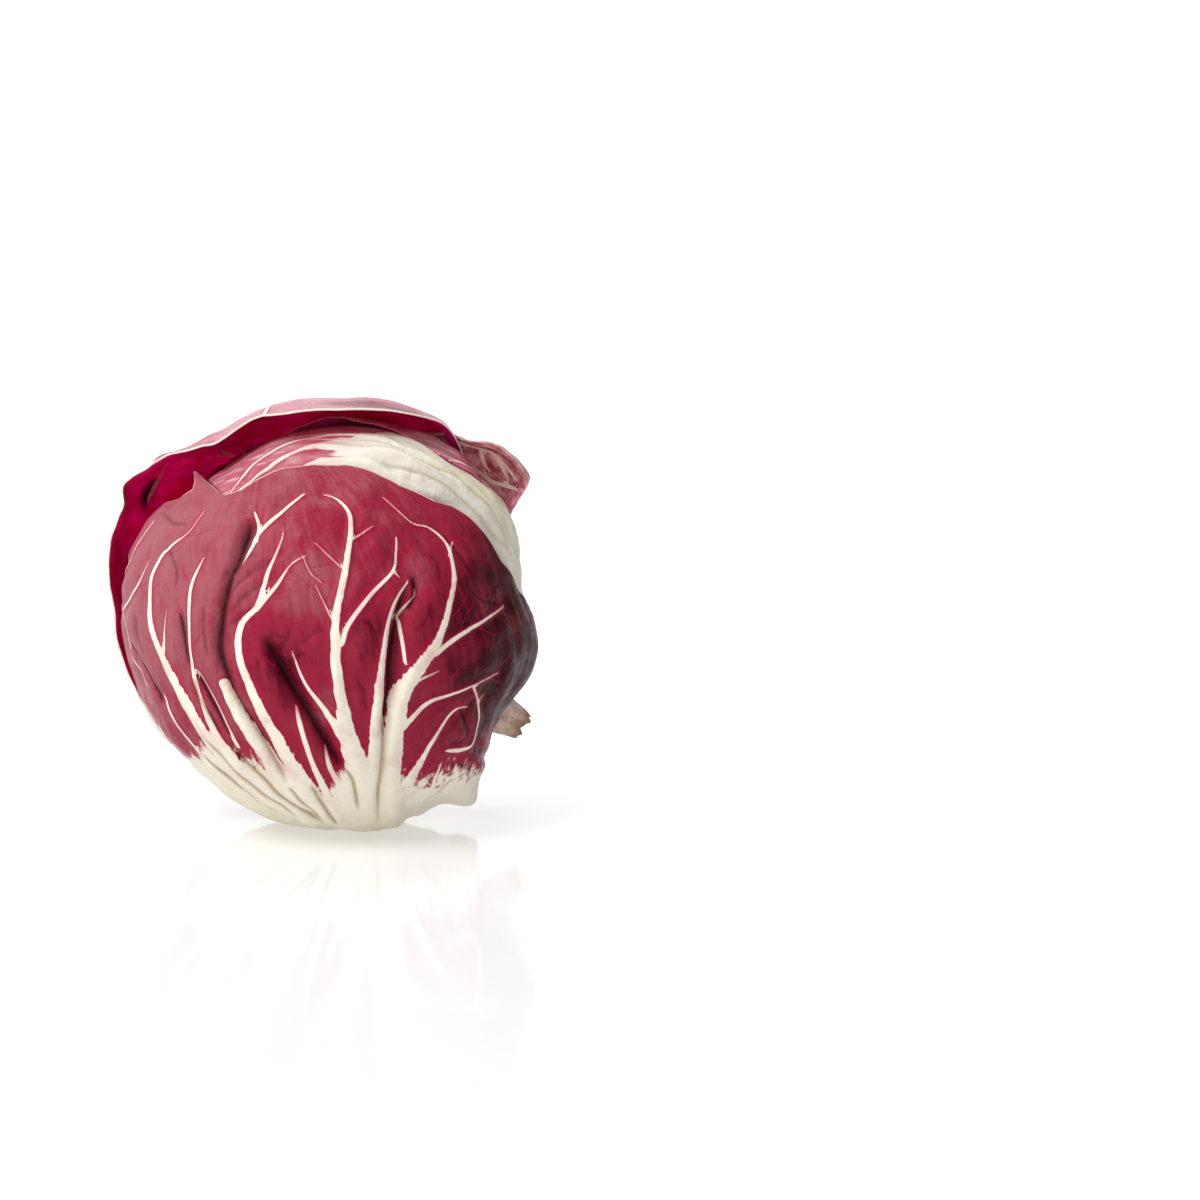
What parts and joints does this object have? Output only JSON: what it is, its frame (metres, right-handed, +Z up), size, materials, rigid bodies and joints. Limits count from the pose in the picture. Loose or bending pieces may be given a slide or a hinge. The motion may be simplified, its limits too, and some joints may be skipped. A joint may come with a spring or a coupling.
{
  "type": "radicchio head",
  "caption": "Round head of variegated radicchio, loose outer leaves wrapped about a short cut stem, lying on its side.",
  "frame": {"origin": "middle of the small flat spot that the head rests on, at the surface", "axes": "+Z up from the surface; the front leaf with its ribs faces -Y; the cut stem points to +X, back and down"},
  "size_m": [0.1189, 0.1163, 0.1137],
  "materials": {
    "red_leaf": "satin",
    "pale_leaf": "satin",
    "outer_leaf": "glossy",
    "dark_leaf": "glossy",
    "inner_leaf": "satin",
    "stem": "matte"
  },
  "bodies": {
    "root": {"stem": "stem", "heart": "inner_leaf", "inner_leaf_1": "inner_leaf", "inner_leaf_2": "inner_leaf", "inner_leaf_3": "inner_leaf", "inner_leaf_4": "inner_leaf", "inner_leaf_5": "inner_leaf", "inner_leaf_6": "inner_leaf", "front_leaf": "red_leaf", "crown_leaf": "pale_leaf", "shoulder_leaf": "pale_leaf", "hood_leaf": "outer_leaf", "right_leaf": "dark_leaf", "under_leaf": "red_leaf", "back_leaf": "red_leaf"}
  },
  "joints": []
}
